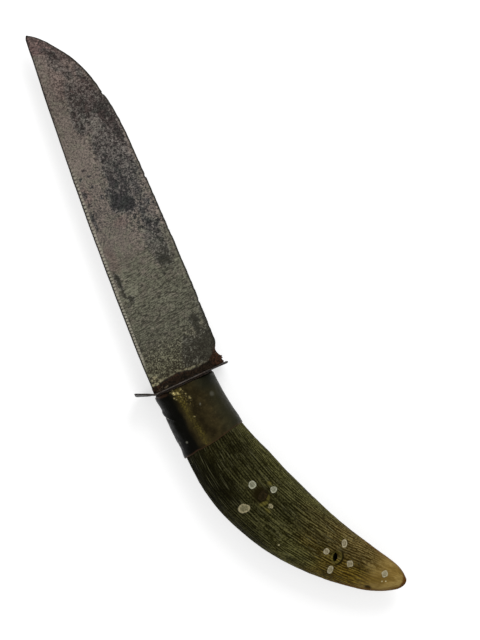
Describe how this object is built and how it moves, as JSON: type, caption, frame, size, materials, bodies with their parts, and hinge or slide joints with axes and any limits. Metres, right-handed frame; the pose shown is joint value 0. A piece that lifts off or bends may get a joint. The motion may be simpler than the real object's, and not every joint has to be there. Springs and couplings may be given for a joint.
{
  "type": "horn-handled knife",
  "caption": "Fixed-blade knife: broad pointed steel blade on a hidden tang, thin iron cross guard, oval brass ferrule and curved horn grip with metal pins and a thong hole.",
  "frame": {"origin": "middle of the guard's front face, in the knife's middle plane, where the blade comes out", "axes": "+X along the blade towards its point, +Y towards the back of the knife, +Z out of one side"},
  "size_m": [0.2622, 0.0683, 0.0208],
  "materials": {
    "blade_steel": "grey steel with dark pitting and stains",
    "guard_iron": "dull rusty iron plate",
    "packing": "dark dry leather",
    "ferrule_brass": "dark tarnished brass, dented",
    "horn": "worn natural horn, dark olive, lighter at the butt",
    "cement": "dark brown pitch",
    "rivet_iron": "dark brown rusty iron",
    "pin_metal": "dull pale white metal, filed flat"
  },
  "bodies": {
    "root": {"blade": "blade_steel", "guard": "guard_iron", "packing_washer": "packing", "ferrule": "ferrule_brass", "horn_grip": "horn", "tang_cement": "cement", "tang_rivet": "rivet_iron", "front_pin_fore": "pin_metal", "front_pin_edge": "pin_metal", "front_pin_back": "pin_metal", "front_pin_aft": "pin_metal", "rear_pin_fore": "pin_metal", "rear_pin_edge": "pin_metal", "rear_pin_back": "pin_metal", "rear_pin_aft": "pin_metal", "butt_pin": "pin_metal"}
  },
  "joints": []
}
